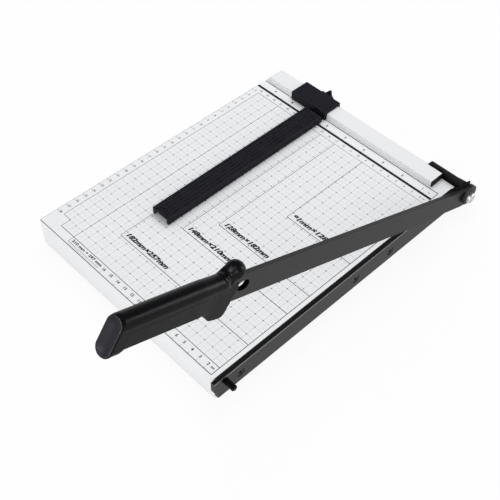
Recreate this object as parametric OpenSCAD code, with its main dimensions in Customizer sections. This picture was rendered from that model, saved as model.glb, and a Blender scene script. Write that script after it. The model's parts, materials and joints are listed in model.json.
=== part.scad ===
// Lever paper cutter for A4 sheets. Millimetres, +Z up, +Y towards the fence, +X towards the blade.

/* [Board] */
// Width of the tray across the fence
board_w = 245; // [236:1:258]
// Length of the tray along the cut
board_l = 328; // [318:1:342]
// Height of the tray wall
tray_h = 30; // [28:0.5:34]
// Thickness of the folded sheet
sheet_t = 1.5; // [1.2:0.1:1.8]
// Radius of the upright corner folds
corner_r = 3; // [2.5:0.5:5]
// Width of the folded-in bottom flange
flange_w = 24; // [22:1:30]
// Height of a rubber foot
foot_h = 4; // [3.5:0.5:6]
// Radius of a rubber foot
foot_r = 8; // [7:0.5:9]

/* [Fence] */
// Depth of the fence, front to back
fence_d = 17.3; // [16:0.1:19]
// Height of the fence above the board
fence_h = 7; // [6.5:0.5:8]
// Wall of the fence channel
fence_t = 1; // [0.8:0.1:1.4]

/* [Fixed blade] */
// Thickness of the rail
rail_t = 4.4; // [4:0.1:5]
// Height of the rail
rail_h = 23.5; // [22:0.5:26]
// Radius of the stop pin
pin_r = 3; // [2.5:0.25:3.25]
// Length of the stop pin outside the rail
pin_len = 11.6; // [10:0.2:13]

/* [Arm] */
// Angle of the arm above level in the modelled pose
rest_angle = 22.9; // [16:0.1:30]
// Thickness of the arm bar
arm_t = 4.5; // [4:0.1:5]
// Height of the bar above the pivot axis
arm_up = 10.7; // [10.2:0.1:11.5]
// Depth of the cutting edge below the pivot axis
arm_down = 13.3; // [12.8:0.1:14]
// Radius of the round hole near the handle
hang_r = 4.9; // [4:0.1:5.2]
// Radius of the pivot stud
stud_r = 5.6; // [5:0.1:6]

/* [Handle] */
// Half thickness of the grip
grip_r = 7.4; // [7:0.1:8]
// Length of the grip from its collar to its end
grip_len = 123.2; // [114:0.2:130]
// Slant of the grip's end face
end_slant = 14.4; // [8:0.2:18]

/* [Paper stop] */
// Width of the stop head along the fence
head_w = 48.5; // [44:0.5:54]
// Height of the stop head's top above the fence
head_up = 3.3; // [3:0.1:4]
// Distance of the stop head's right side from the cutting side of the tray
head_x = 154.8; // [60:0.2:170]
// Width of the stop arm
sarm_w = 22.4; // [20:0.2:25]
// Length of the stop arm in front of the head
sarm_l = 216; // [180:1:240]
// Height of the stop arm
sarm_h = 8.7; // [8.2:0.1:9.5]

/* [Fits] */
// Running clearance on radius
run_c = 0.05; // [0.03:0.01:0.08]
// Gap between pieces that pass each other
pass_c = 0.3; // [0.3:0.05:0.4]

/* [Hidden] */
$fn = 64;
z_top = foot_h + tray_h;
x_cut = board_w/2;
y_back = board_l/2;
y_front = -board_l/2;
fold_gap = 1.2;
fold_x = board_w/2 - (flange_w + sheet_t + 1)/2;
fold_y = board_l/2 - flange_w - fold_gap/2;
foot_in = 14;
foot_screw_r = 1.9;
foot_head_r = 3.4;
foot_head_h = 1.6;
foot_head_z = 0.8;

fence_y1 = y_back - 7.2;
fence_y0 = fence_y1 - fence_d;
fence_x0 = -board_w/2 + 7.2;
fence_x1 = board_w/2 - 16.5;
fence_plug = 9;
fence_boss_r = 3.2;
fence_screw_r = 1.5;
fence_head_r = 3;
fence_head_h = 1.8;
fence_screw_x = [fence_x0 + 24, (fence_x0 + fence_x1)/2, fence_x1 - 24];

rail_x1 = x_cut + rail_t;
rail_y0 = y_front - 3.9;
rail_y1 = y_back - 10.9;
rail_step_z = 11.8;
rail_edge = 0.45;
rail_screw_z = z_top - 12.2;
rail_screw_back = 107.9;
rail_screw_gap = 48.5;
rail_screw_front = 26.1;
rail_screw_y = [y_back - rail_screw_back, y_back - rail_screw_back - rail_screw_gap,
    y_front + rail_screw_front];
rail_screw_r = 2;
rail_head_r = 4;
rail_head_h = 2.2;
nut_m4_af = 7;
nut_m4_h = 3.2;

pin_y = y_front + 8.6;
pin_z = z_top - 2.3 - pin_r;
pin_shank_r = 2;
pin_tip = 0.9;

pivot_y = y_back + 3.1;
pivot_z = z_top - 12.2;
eye_s = 5.75;
eye_n = 4.6;
plate_r = 11.5;
plate_t = 2.9;
plate_x1 = x_cut + plate_t;
pad_in = 0.2;
pad_z0 = z_top + 3.3;
pad_z1 = pivot_z + 7.6;
pad_y1 = pivot_y + 12;
bar_x0 = x_cut - 35.8;
bar_y0 = y_back - 5.7;
bar_y1 = y_back - 0.2;
bar_h = 8.5;
bar_round = 2.5;
bar_foot = 1.5;
bar_screw_x = [x_cut - 28, x_cut - 10];
bar_screw_r = 1.2;
bar_head_r = 2;
bar_head_h = 1.8;
bar_screw_y = y_back - sheet_t - bar_head_r - 0.2;

arm_x0 = rail_x1 + pass_c;
arm_x1 = arm_x0 + arm_t;
arm_mid = (arm_x0 + arm_x1)/2;
washer_r = 9.5;
spring_r = 7.4;
spring_dish = 0.3;
spring_t = 0.6;
spring_x0 = arm_x1 + run_c;
nut_x0 = spring_x0 + spring_t + spring_dish;
nut_af = 15;
nut_h = 3.3;
stud_x1 = nut_x0 + nut_h + 3.4;
stud_tip = 0.8;
hole_s = board_l + 8;
full_s = board_l + 28;
tang_l = 84;
tang_s = full_s + tang_l;
tang_n0 = -8;
tang_n1 = 6;
arm_end_s = -3.5;
arm_end_n = 3;
arm_end_r = 10.5;
heel_s0 = 38;
heel_s1 = 92;
heel_n = -9.4;
bevel = 1;

collar_s = board_l + 12;
knob_s = collar_s + 11.3;
knob_n = 16.8;
knob_r = 8;
grip_s0 = collar_s + 20;
grip_s1 = collar_s + grip_len;
nose_s = collar_s + 6;
nose_r = 3.6;
neck_tilt = 27;
neck_l = 17;
grip_low = -9.4;
grip_up0 = 9.2;
grip_up1 = 5.8;
grip_over = 12;
flank_in = 0.12;
grip_rise = atan2(grip_up0 - grip_up1, grip_s1 + grip_over - grip_s0);
guard_t = 8;
core_s1 = grip_s1 - 7;
core_r0 = guard_t/2 - 0.1;
core_r1 = grip_r - 0.6;
core_s0 = collar_s + 32;
core_n0 = -13.4;
core_n1 = -10.8;
core_cut = 1.9;
core_in = 8;
core_neck = 22;
core_low = -30;
core_high = 20;
core_spread = atan2(core_r1 - core_r0, core_s1 - collar_s - core_neck);
core_tilt = atan2(core_n1 - core_n0, core_s1 - core_s0);
knife_w = 20;
knife_over = 28;
knife_l = core_s1 - core_s0 + 2*knife_over;
end_n = -1.4;
end_box = grip_len;
cap_rim = 0.7;
cap_in = 1.2;
cap_depth = 4;
grip_screw_in = 48;
grip_screw_0 = collar_s + grip_screw_in;
grip_screw_gap = 36;
grip_screw_s = [grip_screw_0, grip_screw_0 + grip_screw_gap];
grip_screw_n = -3.4;
grip_screw_r = 1.9;
grip_head_r = 3.3;
grip_head_h = 1.4;
grip_head_x = -arm_t/2 - 1.4;
grip_screw_x = arm_t/2 + 1.4;

head_x1 = x_cut - head_x;
head_x0 = head_x1 - head_w;
head_top = z_top + fence_h + head_up;
head_under = z_top + fence_h + pass_c;
head_y0 = fence_y0 - pass_c - 3.2;
head_y1 = fence_y1 + pass_c + 2.4;
head_lip_z = z_top + 4;
slide_c = 0.4;
notch_top = z_top + 6.6;
notch_x0 = head_x1 - sarm_w + 0.6;
notch_x1 = head_x1 - 2.2;
tongue_c = 0.4;
tongue_l = 12;
sarm_x1 = head_x1 + 0.2;
sarm_x0 = sarm_x1 - sarm_w;
sarm_y1 = head_y0 - 4.4;
sarm_y0 = head_y0 - sarm_l;
sarm_t = 2.3;
leg_t = 2.3;
groove_n = 5;
groove_w = 1.3;
groove_d = 0.6;
thumb_r = 8;
thumb_d = 0.9;
sarm_screw_x = [notch_x0 + 4.5, notch_x1 - 4.5];
sarm_screw_y = (head_y0 + fence_y0 - pass_c)/2;
sarm_screw_r = 1;
sarm_head_r = 1.5;
sarm_head_h = 1;
clamp_x = head_x1 - 20.5;
clamp_z = z_top + 4.5;
clamp_r = 2;
boss_w = 14;
boss_y1 = head_y1 + 2.4;
cnut_af = 7;
cnut_h = 2.2;
wing_y0 = y_back + 0.6;
wing_d = 2.2;
wing_r = 6.8;

// Middle of the whole box, from the stud's end, the tray's left side, the arm's end and the grip's end
mid_x = (stud_x1 - board_w/2)/2;
arm_end_y = pivot_y + (eye_s - arm_end_s)*cos(rest_angle) + (arm_end_n - eye_n)*sin(rest_angle) + arm_end_r;
grip_low_n = grip_low - grip_r;
grip_end_s = grip_s1 + (end_n - grip_low_n)*tan(end_slant);
grip_end_y = pivot_y - (grip_end_s - eye_s)*cos(rest_angle) - (eye_n - grip_low_n)*sin(rest_angle);
mid_y = (arm_end_y + grip_end_y)/2;

drop = arm_down + eye_n + pin_r + pass_c;
closed_angle = asin(drop/sqrt(pow(pivot_y - pin_y, 2) + pow(pin_z - pivot_z, 2)))
    + atan2(pin_z - pivot_z, pivot_y - pin_y);
echo(closed_angle = closed_angle, pivot = [arm_mid - mid_x, pivot_y - mid_y, pivot_z]);

// Rounded rectangle about the origin
module rrect(w, l, r) {
    square([w - 2*r, l], center = true);
    square([w, l - 2*r], center = true);
    for (sx = [-1, 1], sy = [-1, 1])
        translate([sx*(w/2 - r), sy*(l/2 - r)]) circle(r);
}

// Cylinder along +X from x0 to x1
module xcyl(r, x0, x1) {
    translate([x0, 0, 0]) rotate([0, 90, 0]) cylinder(r = r, h = x1 - x0);
}

// Hexagon prism along +X
module xhex(af, x0, x1) {
    translate([x0, 0, 0]) rotate([0, 90, 0]) cylinder(r = af/sqrt(3), h = x1 - x0, $fn = 6);
}

// Cylinder along +Y from y0 to y1
module ycyl(r, y0, y1) {
    translate([0, y0, 0]) rotate([-90, 0, 0]) cylinder(r = r, h = y1 - y0);
}

// Plain box given by two corners
module span(a, b) {
    translate(a) cube([b[0] - a[0], b[1] - a[1], b[2] - a[2]]);
}

// Sets the origin on the floor under the middle of the whole box
module stand() {
    translate([-mid_x, -mid_y, 0]) children();
}

// Places the arm: drawn along -Y from the pivot, then raised
module arm_place() {
    translate([arm_mid, pivot_y, pivot_z]) rotate([-rest_angle, 0, 0])
        translate([0, eye_s, -eye_n]) children();
}

// Flat outline in arm length and height, given a thickness across
module side(t) {
    rotate([90, 0, -90]) linear_extrude(t, center = true) children();
}

// Section in width and height, run along the arm from s0 to s1
module along(s0, s1) {
    translate([0, -s0, 0]) rotate([90, 0, 0]) linear_extrude(s1 - s0) children();
}

module foot_spots() {
    for (sx = [-1, 1], sy = [-1, 1])
        translate([sx*(board_w/2 - foot_in), sy*(board_l/2 - foot_in), 0]) children();
}

module base_board() {
    color([0.93, 0.93, 0.94])
    difference() {
        translate([0, 0, foot_h]) linear_extrude(tray_h) rrect(board_w, board_l, corner_r);
        translate([0, 0, foot_h + sheet_t]) linear_extrude(tray_h - 2*sheet_t)
            rrect(board_w - 2*sheet_t, board_l - 2*sheet_t, corner_r - sheet_t/2);
        translate([0, 0, foot_h - 1]) linear_extrude(sheet_t + 2)
            square([board_w - 2*flange_w, board_l - 2*flange_w], center = true);
        for (sx = [-1, 1], sy = [-1, 1])
            translate([sx*fold_x, sy*fold_y, foot_h])
                cube([flange_w - sheet_t + 1, fold_gap, 2*sheet_t + 1], center = true);
        foot_spots() translate([0, 0, foot_h - 1]) cylinder(r = foot_screw_r + run_c, h = sheet_t + 2);
        for (x = fence_screw_x)
            translate([x, (fence_y0 + fence_y1)/2, z_top - sheet_t - 1])
                cylinder(r = fence_screw_r + run_c, h = sheet_t + 2);
        for (x = bar_screw_x)
            translate([x, bar_screw_y, z_top - sheet_t - 1])
                cylinder(r = bar_screw_r + run_c, h = sheet_t + 2);
        for (y = rail_screw_y)
            translate([0, y, rail_screw_z]) xcyl(rail_screw_r + run_c, x_cut - sheet_t - 1, x_cut + 1);
        translate([0, pin_y, pin_z]) xcyl(pin_shank_r + run_c, x_cut - sheet_t - 1, x_cut + 1);
    }
}

module rubber_feet() {
    color([0.10, 0.10, 0.10])
    foot_spots() difference() {
        cylinder(r = foot_r, h = foot_h);
        translate([0, 0, -1]) cylinder(r = foot_head_r + 0.3, h = 1 + foot_head_z + foot_head_h);
        cylinder(r = foot_screw_r + run_c, h = foot_h + 1);
    }
}

module foot_screws() {
    color([0.62, 0.62, 0.64])
    foot_spots() difference() {
        union() {
            translate([0, 0, foot_head_z]) cylinder(r = foot_head_r, h = foot_head_h);
            translate([0, 0, foot_head_z])
                cylinder(r = foot_screw_r, h = foot_h + sheet_t + 3 - foot_head_z);
        }
        translate([-0.5, -2.2, foot_head_z - 1]) cube([1, 4.4, 1.8]);
        translate([-2.2, -0.5, foot_head_z - 1]) cube([4.4, 1, 1.8]);
    }
}

module fence() {
    color([0.93, 0.93, 0.93])
    difference() {
        union() {
            difference() {
                span([fence_x0, fence_y0, z_top], [fence_x1, fence_y1, z_top + fence_h]);
                span([fence_x0 - 1, fence_y0 + fence_t, z_top - 1],
                    [fence_x1 + 1, fence_y1 - fence_t, z_top + fence_h - fence_t]);
            }
            for (x = fence_screw_x)
                translate([x, (fence_y0 + fence_y1)/2, z_top])
                    cylinder(r = fence_boss_r, h = fence_h - fence_t/2);
        }
        for (x = fence_screw_x)
            translate([x, (fence_y0 + fence_y1)/2, z_top - 1])
                cylinder(r = fence_screw_r + run_c, h = fence_h - 0.6);
    }
}

module fence_cap_left() {
    color([0.93, 0.93, 0.93])
    union() {
        difference() {
            translate([0, fence_y1, 0]) rotate([90, 0, 0]) linear_extrude(fence_d)
                polygon([[fence_x0 - 6.5, z_top], [fence_x0, z_top], [fence_x0, z_top + fence_h],
                    [fence_x0 - 0.8, z_top + fence_h], [fence_x0 - 6.5, z_top + 0.8]]);
            translate([fence_x0 - 4, fence_y1, z_top - 1]) rotate([0, 0, 40]) cube([10, 10, fence_h + 2]);
        }
        span([fence_x0 - 0.5, fence_y0 + fence_t + 0.1, z_top + 0.1],
            [fence_x0 + fence_plug, fence_y1 - fence_t - 0.1, z_top + fence_h - fence_t - 0.1]);
    }
}

module fence_cap_right() {
    color([0.07, 0.07, 0.075])
    difference() {
        span([fence_x1 - fence_plug, fence_y0 + fence_t + 0.05, z_top],
            [fence_x1 - 0.2, fence_y1 - fence_t - 0.05, z_top + fence_h - fence_t - 0.05]);
        span([fence_x1 - 0.8, fence_y0 + fence_t + 1.4, z_top + 1.3],
            [fence_x1 + 1, fence_y1 - fence_t - 1.4, z_top + fence_h - fence_t - 1.3]);
    }
}

module fence_screws() {
    color([0.62, 0.62, 0.64])
    for (x = fence_screw_x) translate([x, (fence_y0 + fence_y1)/2, 0]) {
        translate([0, 0, z_top - sheet_t - fence_head_h]) cylinder(r = fence_head_r, h = fence_head_h);
        translate([0, 0, z_top - sheet_t - fence_head_h])
            cylinder(r = fence_screw_r, h = sheet_t + fence_head_h + fence_h - 2.2);
    }
}

module fixed_blade() {
    color([0.13, 0.13, 0.14])
    difference() {
        span([x_cut, rail_y0, z_top - rail_h], [rail_x1, rail_y1, z_top]);
        span([x_cut - 1, rail_y0 - 1, z_top - rail_h - 1], [rail_x1 + 1, y_front, z_top - rail_step_z]);
        translate([0, rail_y1 + 1, 0]) rotate([90, 0, 0]) linear_extrude(rail_y1 - rail_y0 + 2)
            polygon([[rail_x1 - rail_edge, z_top + 0.01], [rail_x1 + 1, z_top + 0.01],
                [rail_x1 + 1, z_top - rail_edge - 1], [rail_x1, z_top - rail_edge]]);
        for (y = rail_screw_y) translate([0, y, rail_screw_z]) {
            xcyl(rail_screw_r + run_c, x_cut - 1, rail_x1 + 1);
            xcyl(rail_head_r + 0.4, rail_x1 - rail_head_h - 0.4, rail_x1 + 1);
        }
        translate([0, pin_y, pin_z]) xcyl(pin_r + run_c, x_cut - 1, rail_x1 + 1);
    }
}

module rail_screws() {
    color([0.10, 0.10, 0.11])
    for (y = rail_screw_y) translate([0, y, rail_screw_z]) difference() {
        union() {
            xcyl(rail_head_r, rail_x1 - rail_head_h - 0.4, rail_x1 - 0.4);
            xcyl(rail_screw_r, x_cut - sheet_t - nut_m4_h - 1, rail_x1 - 1);
        }
        xhex(3.2, rail_x1 - 1.9, rail_x1 + 1);
    }
}

module rail_nuts() {
    color([0.62, 0.62, 0.64])
    for (y = rail_screw_y) translate([0, y, rail_screw_z]) difference() {
        xhex(nut_m4_af, x_cut - sheet_t - nut_m4_h, x_cut - sheet_t);
        xcyl(rail_screw_r + run_c, x_cut - sheet_t - nut_m4_h - 1, x_cut);
    }
}

module stop_pin() {
    color([0.08, 0.08, 0.085])
    translate([0, pin_y, pin_z]) union() {
        xcyl(pin_r, x_cut, rail_x1 + pin_len - pin_tip);
        translate([rail_x1 + pin_len - pin_tip, 0, 0]) rotate([0, 90, 0])
            cylinder(r1 = pin_r, r2 = pin_r - pin_tip, h = pin_tip);
        xcyl(pin_shank_r, x_cut - sheet_t - nut_m4_h - 1, x_cut + 0.5);
    }
}

module stop_pin_nut() {
    color([0.62, 0.62, 0.64])
    translate([0, pin_y, pin_z]) difference() {
        rotate([30, 0, 0]) xhex(nut_m4_af, x_cut - sheet_t - nut_m4_h, x_cut - sheet_t);
        xcyl(pin_shank_r + run_c, x_cut - sheet_t - nut_m4_h - 1, x_cut);
    }
}

module pivot_bracket() {
    color([0.09, 0.09, 0.095])
    difference() {
        union() {
            span([bar_x0 - 2, fence_y1 + 0.25, z_top], [x_cut + 1, y_back, z_top + bar_foot]);
            translate([bar_x0, 0, 0]) rotate([90, 0, 90]) linear_extrude(rail_x1 - bar_x0) {
                translate([bar_y0, z_top]) square([bar_y1 - bar_y0, bar_h - bar_round]);
                translate([bar_y0, z_top]) square([bar_y1 - bar_y0 - bar_round, bar_h]);
                translate([bar_y1 - bar_round, z_top + bar_h - bar_round]) circle(bar_round);
            }
            translate([x_cut, 0, 0]) rotate([90, 0, 90]) linear_extrude(plate_t) {
                polygon([[rail_y1 + pass_c, z_top - rail_h], [rail_y1 + pass_c, z_top],
                    [bar_y0 + pad_in, z_top], [bar_y0 + pad_in, z_top + bar_h - 1],
                    [bar_y1, z_top + bar_h - 1], [pivot_y + 8, pivot_z + 8], [pivot_y + 10, pivot_z],
                    [pivot_y, pivot_z - 11]]);
                translate([pivot_y, pivot_z]) circle(plate_r);
            }
            translate([plate_x1 - pad_in, 0, 0]) rotate([90, 0, 90])
                linear_extrude(rail_x1 - plate_x1 + pad_in)
                polygon([[rail_y1 + pass_c, z_top - rail_h + 1.5], [rail_y1 + pass_c, pad_z0],
                    [pad_y1, pad_z1], [pad_y1, pivot_z - 2], [pivot_y + 2, pivot_z - 10.4]]);
        }
        translate([bar_x0 - 2.6, bar_y0 - 1, z_top + bar_foot]) rotate([0, 38, 0])
            translate([-9, 0, -4]) cube([9, 10, 22]);
        translate([0, pivot_y, pivot_z]) xcyl(stud_r + run_c, x_cut - 1, rail_x1 + 1);
        for (x = bar_screw_x)
            translate([x, bar_screw_y, z_top - 1]) cylinder(r = bar_screw_r + run_c, h = bar_h - 1);
    }
}

module bracket_screws() {
    color([0.62, 0.62, 0.64])
    for (x = bar_screw_x) translate([x, bar_screw_y, 0]) {
        translate([0, 0, z_top - sheet_t - bar_head_h]) cylinder(r = bar_head_r, h = bar_head_h);
        translate([0, 0, z_top - sheet_t - bar_head_h])
            cylinder(r = bar_screw_r, h = sheet_t + bar_head_h + bar_h - 2.4);
    }
}

module pivot_stud() {
    color([0.78, 0.78, 0.80])
    translate([0, pivot_y, pivot_z]) difference() {
        union() {
            xcyl(stud_r, x_cut, stud_x1 - stud_tip);
            translate([stud_x1 - stud_tip, 0, 0]) rotate([0, 90, 0])
                cylinder(r1 = stud_r, r2 = stud_r - stud_tip, h = stud_tip);
        }
        rotate([rest_angle + 24, 0, 0])
            span([stud_x1 - 2, -stud_r - 1, -0.9], [stud_x1 + 1, stud_r + 1, 0.9]);
    }
}

module inner_washer() {
    color([0.35, 0.35, 0.36])
    translate([0, pivot_y, pivot_z]) difference() {
        xcyl(washer_r, rail_x1, arm_x0 - run_c);
        xcyl(stud_r + run_c, rail_x1 - 1, arm_x0 + 1);
    }
}

module spring_washer() {
    color([0.35, 0.35, 0.36])
    translate([spring_x0, pivot_y, pivot_z]) rotate([0, 90, 0]) rotate_extrude()
        polygon([[stud_r + run_c, spring_dish], [spring_r, 0], [spring_r, spring_t],
            [stud_r + run_c, spring_t + spring_dish]]);
}

module pivot_nut() {
    color([0.08, 0.08, 0.085])
    translate([0, pivot_y, pivot_z]) difference() {
        rotate([12, 0, 0]) xhex(nut_af, nut_x0, nut_x0 + nut_h);
        xcyl(stud_r + run_c, nut_x0 - 1, nut_x0 + nut_h + 1);
    }
}

module cutting_arm() {
    color([0.26, 0.26, 0.27])
    arm_place() difference() {
        union() {
            side(arm_t) translate([arm_end_s, arm_end_n]) circle(arm_end_r);
            side(arm_t) polygon([[arm_end_s, arm_up + 2.8], [7, arm_up], [full_s, arm_up], [full_s, tang_n1],
                [tang_s, tang_n1], [tang_s, tang_n0], [full_s, tang_n0], [full_s, -arm_down],
                [heel_s1, -arm_down], [heel_s0, heel_n], [6, -8.9], [arm_end_s, -7.4]]);
        }
        side(arm_t + 2) translate([eye_s, eye_n]) circle(stud_r + run_c);
        side(arm_t + 2) translate([hole_s, 0]) circle(hang_r);
        for (s = grip_screw_s)
            side(arm_t + 2) translate([s, grip_screw_n]) circle(grip_screw_r + run_c);
        translate([arm_t/2 + 0.01, 0, 0]) rotate([90, 0, 0]) linear_extrude(full_s + 1)
            polygon([[0, -arm_down - 0.01], [-arm_t + 0.7, -arm_down - 0.01], [0, -arm_down + bevel]]);
    }
}

// Grip body section swept straight: two rounds joined by flat flanks
module grip_body(r, low, up0, up1, s0, s1) {
    translate([0, -s0, low]) rotate([90, 0, 0]) cylinder(r = r, h = s1 - s0);
    translate([0, -s0, up0]) rotate([90 + grip_rise, 0, 0]) cylinder(r = r, h = (s1 - s0)/cos(grip_rise));
    side(2*r - 2*flank_in) polygon([[s0, low], [s1, low], [s1, up1], [s0, up0]]);
}

// Everything beyond the slanted plane through the grip's end, moved out by d
module beyond_end(d) {
    translate([0, -grip_s1, end_n]) rotate([-end_slant, 0, 0])
        translate([-end_box/2, -end_box - d, -end_box/2]) cube(end_box);
}

// Slim finger part of the grip, tapering towards the guard, with its lower edges cut off
module grip_core() {
    difference() {
        intersection() {
            translate([0, 0, core_low]) linear_extrude(core_high - core_low)
                polygon([[core_r0, -collar_s - core_in], [core_r0, -collar_s - core_neck],
                    [core_r1, -core_s1], [-core_r1, -core_s1],
                    [-core_r0, -collar_s - core_neck], [-core_r0, -collar_s - core_in]]);
            side(2*knife_w) polygon([[collar_s + core_in, 4], [core_s1, 4], [core_s1, core_n1],
                [core_s0, core_n0], [collar_s + 9, core_n0]]);
        }
        for (m = [0, 1]) mirror([m, 0, 0]) {
            translate([core_r0 - core_cut, knife_w - core_s0, core_n0 - 0.6])
                rotate([-core_tilt, 0, -core_spread]) rotate([0, 45, 0])
                    translate([0, 10 - knife_l, -knife_w]) cube([knife_w, knife_l, knife_w]);
        }
    }
}

module handle() {
    color([0.07, 0.07, 0.078])
    arm_place() difference() {
        union() {
            difference() {
                grip_body(grip_r, grip_low, grip_up0, grip_up1, grip_s0, grip_s1 + grip_over);
                side(2*knife_w) polygon([[grip_s0 - 10, -40], [grip_s0 - 10, 5.4], [grip_s0, 5],
                    [grip_s1 - 33, 0.4], [grip_s1 - 18.4, 0.2], [grip_s1 - 14.5, -1.1],
                    [grip_s1 - 12.2, -4], [grip_s1 - 10.8, -8], [core_s1, -12], [core_s1, -40]]);
                beyond_end(0);
            }
            grip_core();
            translate([0, -nose_s, grip_up0]) rotate([90, 0, 0])
                cylinder(r1 = nose_r, r2 = grip_r - 0.3, h = grip_s0 - nose_s + 1);
            translate([0, -knob_s, knob_n]) sphere(r = knob_r);
            translate([0, -knob_s, knob_n]) rotate([90 + neck_tilt, 0, 0])
                cylinder(r1 = knob_r - 0.5, r2 = grip_r - 1, h = neck_l);
            side(guard_t) polygon([[collar_s + 6, 6], [collar_s + 5, 0], [collar_s + 7, -4],
                [collar_s + 9.6, -10.4], [collar_s + 10.4, -16], [collar_s + 11.7, -20.8],
                [collar_s + 13.9, -23], [collar_s + 17, -23.6], [collar_s + 27.6, -22.1],
                [collar_s + 29.5, -20.8], [collar_s + 32.8, -17.6], [collar_s + 36.6, -14.4],
                [collar_s + 46, -8], [collar_s + 46, 6]]);
        }
        side(arm_t + 2*run_c) union() {
            translate([hole_s - 20, -arm_down - run_c])
                square([full_s - hole_s + 20 + run_c, arm_up + arm_down + 2*run_c]);
            translate([full_s - 1, tang_n0 - run_c])
                square([tang_s - full_s + 1 + run_c, tang_n1 - tang_n0 + 2*run_c]);
        }
        for (s = grip_screw_s) translate([0, -s, grip_screw_n]) {
            xcyl(grip_screw_r + run_c, -grip_r - 1, grip_screw_x + 0.2);
            xcyl(grip_head_r + 0.3, -grip_r - 1, grip_head_x);
        }
        intersection() {
            grip_body(grip_r - cap_rim, grip_low, grip_up0, grip_up1, grip_s0, grip_s1 + grip_over);
            beyond_end(-cap_depth);
        }
    }
}

module handle_screws() {
    color([0.10, 0.10, 0.11])
    arm_place() for (s = grip_screw_s) translate([0, -s, grip_screw_n]) difference() {
        union() {
            xcyl(grip_head_r, grip_head_x - grip_head_h, grip_head_x);
            xcyl(grip_screw_r, grip_head_x - grip_head_h, grip_screw_x);
        }
        span([grip_head_x - grip_head_h - 1, -2, -0.45], [grip_head_x - grip_head_h + 1, 2, 0.45]);
        span([grip_head_x - grip_head_h - 1, -0.45, -2], [grip_head_x - grip_head_h + 1, 0.45, 2]);
    }
}

module handle_end_cap() {
    color([0.16, 0.16, 0.19])
    arm_place() intersection() {
        grip_body(grip_r - cap_in, grip_low, grip_up0, grip_up1, grip_s0, grip_s1 + grip_over);
        difference() {
            beyond_end(-cap_depth);
            beyond_end(0);
        }
    }
}

module stop_head() {
    color([0.085, 0.085, 0.095])
    difference() {
        union() {
            span([head_x0, head_y0, head_under], [head_x1, head_y1, head_top]);
            span([head_x0, head_y0, z_top + slide_c], [head_x1, fence_y0 - pass_c, head_top]);
            span([head_x0, fence_y1 + pass_c, head_lip_z], [head_x1, head_y1, head_top]);
            span([clamp_x - boss_w/2, fence_y1 + pass_c, z_top + 0.6],
                [clamp_x + boss_w/2, boss_y1, head_top - 1]);
        }
        span([notch_x0 - tongue_c, head_y0 - 1, z_top - 1], [notch_x1 + tongue_c, fence_y0 + 1, notch_top]);
        for (x = sarm_screw_x)
            translate([x, sarm_screw_y, notch_top - 1]) cylinder(r = sarm_screw_r + run_c, h = 3.4);
        translate([clamp_x, 0, clamp_z]) {
            ycyl(clamp_r + run_c, fence_y1, boss_y1 + 1);
            translate([0, fence_y1, 0]) rotate([-90, 0, 0])
                cylinder(r = cnut_af/sqrt(3) + 0.1, h = pass_c + cnut_h, $fn = 6);
        }
    }
}

module stop_arm() {
    color([0.085, 0.085, 0.095])
    difference() {
        union() {
            span([sarm_x0, sarm_y0, z_top + sarm_h - sarm_t], [sarm_x1, sarm_y1, z_top + sarm_h]);
            for (x = [sarm_x0, sarm_x1 - leg_t]) {
                span([x, sarm_y0, z_top + slide_c + leg_t/2], [x + leg_t, sarm_y1, z_top + sarm_h - 0.5]);
                translate([x + leg_t/2, 0, z_top + slide_c + leg_t/2]) ycyl(leg_t/2, sarm_y0, sarm_y1);
            }
            span([notch_x0, sarm_y1 - tongue_l, z_top + slide_c],
                [notch_x1, fence_y0 - pass_c - 0.1, notch_top - run_c]);
            span([sarm_x0 + 1, sarm_y1 - tongue_l, notch_top - 2],
                [sarm_x1 - 1, sarm_y1, z_top + sarm_h - 1]);
        }
        for (i = [0 : groove_n - 1])
            translate([sarm_x0 + sarm_w*(i + 0.75)/(groove_n + 0.5), 0, z_top + sarm_h])
                span([-groove_w/2, sarm_y0 + thumb_r + 3, -groove_d], [groove_w/2, sarm_y1 - 1.6, 1]);
        translate([(sarm_x0 + sarm_x1)/2, sarm_y0, z_top + sarm_h - thumb_d]) cylinder(r = thumb_r, h = 5);
        for (x = sarm_screw_x) translate([x, sarm_screw_y, 0]) {
            translate([0, 0, z_top]) cylinder(r = sarm_screw_r + run_c, h = sarm_h);
            translate([0, 0, z_top]) cylinder(r = sarm_head_r + 0.1, h = slide_c + 0.4 + sarm_head_h);
        }
    }
}

module stop_arm_screws() {
    color([0.62, 0.62, 0.64])
    for (x = sarm_screw_x) translate([x, sarm_screw_y, z_top + slide_c + 0.4]) {
        cylinder(r = sarm_head_r, h = sarm_head_h);
        cylinder(r = sarm_screw_r, h = notch_top + 2 - z_top - slide_c - 0.4);
    }
}

module clamp_nut() {
    color([0.62, 0.62, 0.64])
    translate([clamp_x, 0, clamp_z]) difference() {
        translate([0, fence_y1 + pass_c + 0.1, 0]) rotate([-90, 0, 0])
            cylinder(r = cnut_af/sqrt(3), h = cnut_h - 0.1, $fn = 6);
        ycyl(clamp_r + run_c, fence_y1, boss_y1);
    }
}

module clamp_screw() {
    color([0.085, 0.085, 0.095])
    translate([clamp_x, 0, clamp_z]) union() {
        ycyl(clamp_r, fence_y1 + pass_c, wing_y0 + 1);
        ycyl(3.2, boss_y1 + run_c, wing_y0 + wing_d);
        translate([0, wing_y0 + wing_d, 0]) rotate([90, 0, 0]) linear_extrude(wing_d)
            polygon([[1.7, wing_r], [-0.4, wing_r - 0.2], [-5.4, 1.1], [-2.6, -0.8], [-1.7, -wing_r],
                [0.4, 0.2 - wing_r], [5.4, -1.1], [2.6, 0.8]]);
    }
}

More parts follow.
